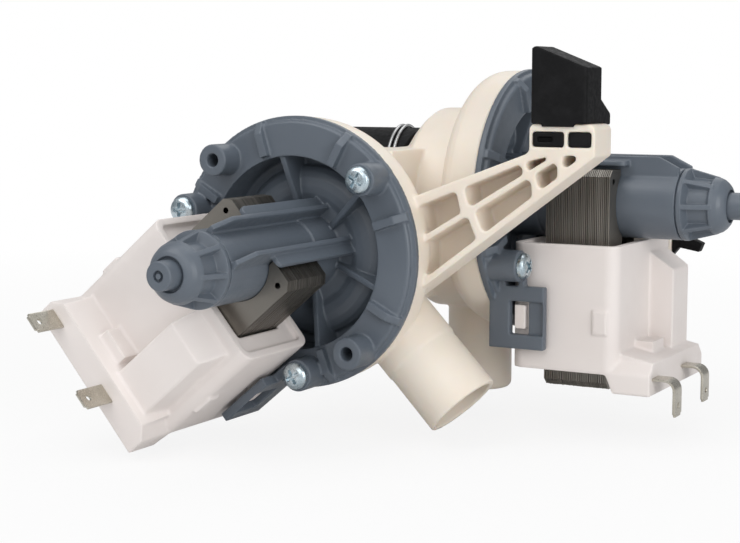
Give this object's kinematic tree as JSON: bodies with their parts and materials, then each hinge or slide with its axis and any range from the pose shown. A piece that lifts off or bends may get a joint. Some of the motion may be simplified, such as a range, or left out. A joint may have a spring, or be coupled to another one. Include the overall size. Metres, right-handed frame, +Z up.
{
  "type": "washer drain pump",
  "caption": "Twin synchronous drain pump of a washing machine: grey motor covers with white coil housings on a cream pump housing with inlet hose and outlets",
  "frame": {"origin": "centre of the front motor's boss circle, in the plane of its boss tops, on the front motor's axis", "axes": "-Y along the front motor's axis towards its tail, +X along the rear motor's axis towards its tail, +Z up"},
  "size_m": [0.1772, 0.1777, 0.1157],
  "materials": {
    "cream_plastic": "satin",
    "cover_plastic": "satin",
    "housing_plastic": "satin",
    "bobbin_plastic": "satin",
    "rotor_plastic": "satin",
    "black_rubber": "matte",
    "laminations": "satin",
    "copper_wire": "gloss",
    "tinned_brass": "satin",
    "zinc_steel": "satin",
    "spring_steel": "satin",
    "shaft_steel": "satin",
    "ferrite": "matte"
  },
  "bodies": {
    "pump": {"pump_housing": "cream_plastic", "inlet_hose": "black_rubber", "hose_clamp": "spring_steel", "mount_rubber": "black_rubber", "rear_mount_rubber": "black_rubber", "front_motor_cover": "cover_plastic", "front_tail_cap": "cover_plastic", "front_stator_core": "laminations", "front_coil_housing": "housing_plastic", "front_coil_bobbins": "bobbin_plastic", "front_coil_windings": "copper_wire", "front_terminals": "tinned_brass", "front_cover_screws": "zinc_steel", "front_cover_seal": "black_rubber", "front_nose_bush": "shaft_steel", "front_tail_bush": "shaft_steel", "rear_motor_cover": "cover_plastic", "rear_tail_cap": "cover_plastic", "rear_stator_core": "laminations", "rear_coil_housing": "housing_plastic", "rear_coil_bobbins": "bobbin_plastic", "rear_coil_windings": "copper_wire", "rear_terminals": "tinned_brass", "rear_cover_screws": "zinc_steel", "rear_cover_seal": "black_rubber", "rear_nose_bush": "shaft_steel", "rear_tail_bush": "shaft_steel"},
    "front_impeller_body": {"front_shaft": "shaft_steel", "front_impeller": "rotor_plastic", "front_drive_dog": "rotor_plastic"},
    "front_magnet_body": {"front_magnet_rotor": "ferrite", "front_rotor_hub": "bobbin_plastic"},
    "rear_impeller_body": {"rear_shaft": "shaft_steel", "rear_impeller": "rotor_plastic", "rear_drive_dog": "rotor_plastic"},
    "rear_magnet_body": {"rear_magnet_rotor": "ferrite", "rear_rotor_hub": "bobbin_plastic"}
  },
  "joints": [
    {"name": "front_impeller_spin", "type": "hinge", "parent": "pump", "child": "front_impeller_body", "pos_m": [0, 0.0118, 0], "axis": [0, -1, 0], "continuous": true},
    {"name": "front_magnet_play", "type": "hinge", "parent": "front_impeller_body", "child": "front_magnet_body", "pos_m": [0, 0.0118, 0], "axis": [0, -1, 0], "range_deg": [-90, 90]},
    {"name": "rear_impeller_spin", "type": "hinge", "parent": "pump", "child": "rear_impeller_body", "pos_m": [0.048, 0.0733, 0.014], "axis": [1, 0, 0], "continuous": true},
    {"name": "rear_magnet_play", "type": "hinge", "parent": "rear_impeller_body", "child": "rear_magnet_body", "pos_m": [0.048, 0.0733, 0.014], "axis": [1, 0, 0], "range_deg": [-90, 90]}
  ]
}
